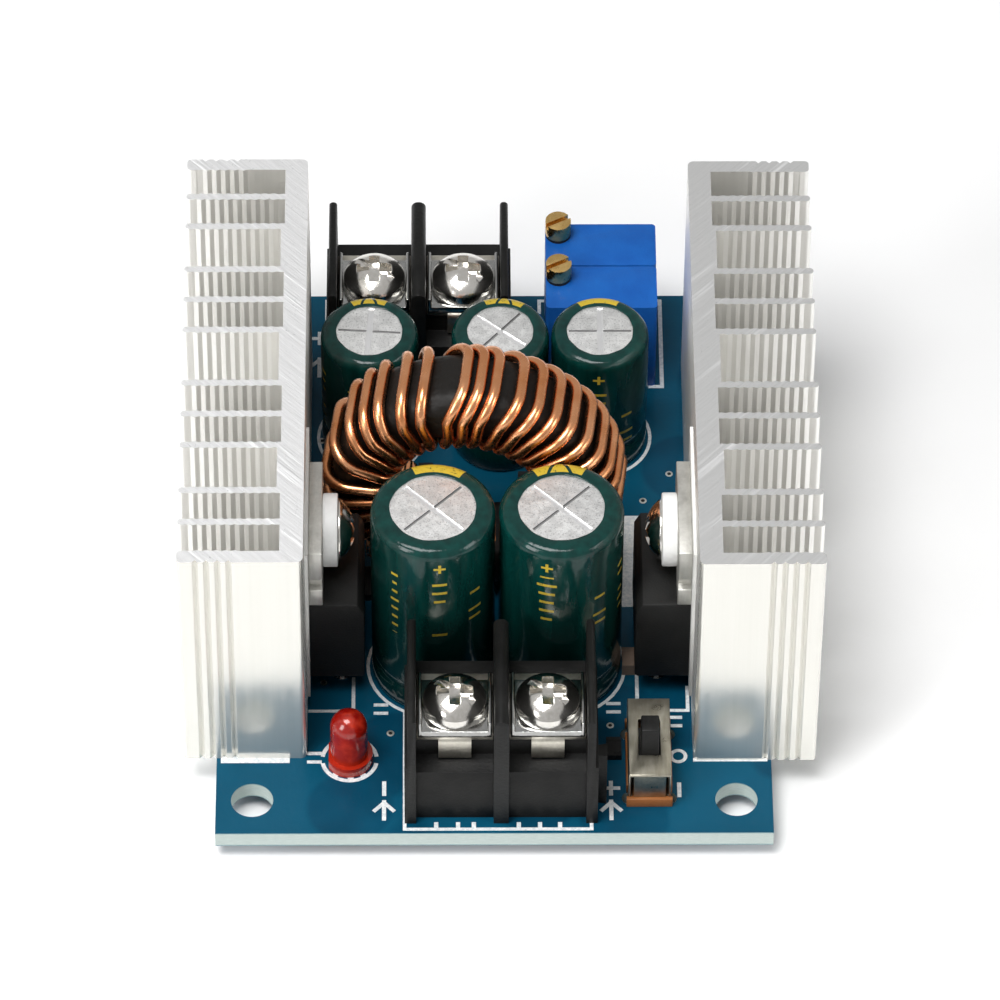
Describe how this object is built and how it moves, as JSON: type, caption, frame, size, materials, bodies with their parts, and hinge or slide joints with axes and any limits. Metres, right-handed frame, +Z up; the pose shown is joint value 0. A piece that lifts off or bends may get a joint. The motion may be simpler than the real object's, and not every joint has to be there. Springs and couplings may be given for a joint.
{
  "type": "buck converter module",
  "caption": "Adjustable step-down power converter board with finned heatsinks, upright ring inductor, capacitors, screw terminals, trimmers and a slide switch.",
  "frame": {"origin": "centre of the four mounting holes, on the underside of the circuit board", "axes": "+X to the right as seen from the input terminals, +Y from the input terminals towards the output terminals, +Z up out of the board's component side"},
  "size_m": [0.0524, 0.06, 0.0287],
  "materials": {
    "board": "blue solder mask over pale glass-fibre board, satin gloss",
    "heatsink_aluminium": "extruded aluminium, satin, saw-cut ends",
    "screw_steel": "bright zinc plated steel",
    "device_mould": "black moulded epoxy, fine matt",
    "device_metal": "matt tinned copper",
    "pad_sheet": "grey-white insulating sheet, matt",
    "white_nylon": "white nylon, satin",
    "core_coating": "black epoxy coating on pressed powder iron",
    "copper_wire": "enamelled copper wire, glossy",
    "can_aluminium": "bare drawn aluminium with a scored vent",
    "green_sleeve": "dark green shrink sleeve, glossy, with gold stripe",
    "black_rubber": "black rubber, matt",
    "tinned_wire": "tinned wire, satin",
    "terminal_plastic": "black moulded plastic, fine matt",
    "contact_nickel": "nickel plated brass, satin",
    "clamp_chrome": "bright nickel plate",
    "trimmer_blue": "blue moulded plastic, satin",
    "adjuster_brass": "bare turned brass",
    "switch_nickel": "nickel plated sheet steel, satin",
    "switch_phenolic": "orange-brown phenolic board",
    "knob_plastic": "black moulded plastic",
    "red_epoxy": "clear red epoxy lens",
    "chip_mould": "black moulded epoxy",
    "shunt_black": "black glazed resistor",
    "resistor_black": "black glazed chip with tinned ends",
    "ceramic_tan": "tan fired ceramic with tinned ends",
    "solder": "tin solder, bright"
  },
  "bodies": {
    "module": {"circuit_board": "board", "left_heatsink": "heatsink_aluminium", "right_heatsink": "heatsink_aluminium", "diode_body": "device_mould", "diode_leadframe": "device_metal", "mosfet_body": "device_mould", "mosfet_leadframe": "device_metal", "left_insulating_pad": "pad_sheet", "right_insulating_pad": "pad_sheet", "left_insulating_bush": "white_nylon", "right_insulating_bush": "white_nylon", "left_heatsink_screw": "screw_steel", "right_heatsink_screw": "screw_steel", "inductor_core": "core_coating", "inductor_winding": "copper_wire", "input_capacitor_left_can": "can_aluminium", "input_capacitor_left_sleeve": "green_sleeve", "input_capacitor_right_can": "can_aluminium", "input_capacitor_right_sleeve": "green_sleeve", "output_capacitor_left_can": "can_aluminium", "output_capacitor_left_sleeve": "green_sleeve", "output_capacitor_middle_can": "can_aluminium", "output_capacitor_middle_sleeve": "green_sleeve", "output_capacitor_right_can": "can_aluminium", "output_capacitor_right_sleeve": "green_sleeve", "capacitor_seals": "black_rubber", "capacitor_leads": "tinned_wire", "input_terminal_housing": "terminal_plastic", "input_terminal_contacts": "contact_nickel", "output_terminal_housing": "terminal_plastic", "output_terminal_contacts": "contact_nickel", "rear_trimmer_case": "trimmer_blue", "front_trimmer_case": "trimmer_blue", "trimmer_seals": "black_rubber", "trimmer_pins": "tinned_wire", "switch_cover": "switch_nickel", "switch_base": "switch_phenolic", "switch_pins": "tinned_wire", "power_light_lens": "red_epoxy", "power_light_leads": "tinned_wire", "controller_chip": "chip_mould", "amplifier_chip": "chip_mould", "chip_leads": "tinned_wire", "current_shunt": "shunt_black", "chip_resistors": "resistor_black", "chip_capacitors": "ceramic_tan", "solder_joints": "solder"},
    "input_negative_clamp": {"input_negative_clamp": "clamp_chrome"},
    "input_negative_screw": {"input_negative_screw": "screw_steel"},
    "input_positive_clamp": {"input_positive_clamp": "clamp_chrome"},
    "input_positive_screw": {"input_positive_screw": "screw_steel"},
    "output_positive_clamp": {"output_positive_clamp": "clamp_chrome"},
    "output_positive_screw": {"output_positive_screw": "screw_steel"},
    "output_negative_clamp": {"output_negative_clamp": "clamp_chrome"},
    "output_negative_screw": {"output_negative_screw": "screw_steel"},
    "rear_adjuster": {"rear_trimmer_screw": "adjuster_brass"},
    "front_adjuster": {"front_trimmer_screw": "adjuster_brass"},
    "slider": {"switch_slider": "knob_plastic"}
  },
  "joints": [
    {"name": "input_negative_lift", "type": "slide", "parent": "module", "child": "input_negative_clamp", "axis": [0, 0, 1], "range_m": [0, 0.003]},
    {"name": "input_negative_turn", "type": "hinge", "parent": "input_negative_clamp", "child": "input_negative_screw", "pos_m": [-0.00326, -0.024, 0.0108], "axis": [0, 0, 1], "range_deg": [0, 2400]},
    {"name": "input_positive_lift", "type": "slide", "parent": "module", "child": "input_positive_clamp", "axis": [0, 0, 1], "range_m": [0, 0.003]},
    {"name": "input_positive_turn", "type": "hinge", "parent": "input_positive_clamp", "child": "input_positive_screw", "pos_m": [0.00436, -0.024, 0.0108], "axis": [0, 0, 1], "range_deg": [0, 2400]},
    {"name": "output_positive_lift", "type": "slide", "parent": "module", "child": "output_positive_clamp", "axis": [0, 0, 1], "range_m": [0, 0.003]},
    {"name": "output_positive_turn", "type": "hinge", "parent": "output_positive_clamp", "child": "output_positive_screw", "pos_m": [-0.01006, 0.023, 0.0108], "axis": [0, 0, 1], "range_deg": [0, 2400]},
    {"name": "output_negative_lift", "type": "slide", "parent": "module", "child": "output_negative_clamp", "axis": [0, 0, 1], "range_m": [0, 0.003]},
    {"name": "output_negative_turn", "type": "hinge", "parent": "output_negative_clamp", "child": "output_negative_screw", "pos_m": [-0.00244, 0.023, 0.0108], "axis": [0, 0, 1], "range_deg": [0, 2400]},
    {"name": "rear_adjust", "type": "hinge", "parent": "module", "child": "rear_adjuster", "pos_m": [0.00578, 0.02793, 0.012], "axis": [0, 0, 1], "continuous": true},
    {"name": "front_adjust", "type": "hinge", "parent": "module", "child": "front_adjuster", "pos_m": [0.00578, 0.02295, 0.012], "axis": [0, 0, 1], "continuous": true},
    {"name": "switch_slide", "type": "slide", "parent": "module", "child": "slider", "axis": [0, 1, 0], "range_m": [0, 0.002]}
  ],
  "couplings": [
    {"joint": "input_negative_turn", "follows": "input_negative_lift", "rad_per_m": 12566},
    {"joint": "input_positive_turn", "follows": "input_positive_lift", "rad_per_m": 12566},
    {"joint": "output_positive_turn", "follows": "output_positive_lift", "rad_per_m": 12566},
    {"joint": "output_negative_turn", "follows": "output_negative_lift", "rad_per_m": 12566}
  ]
}
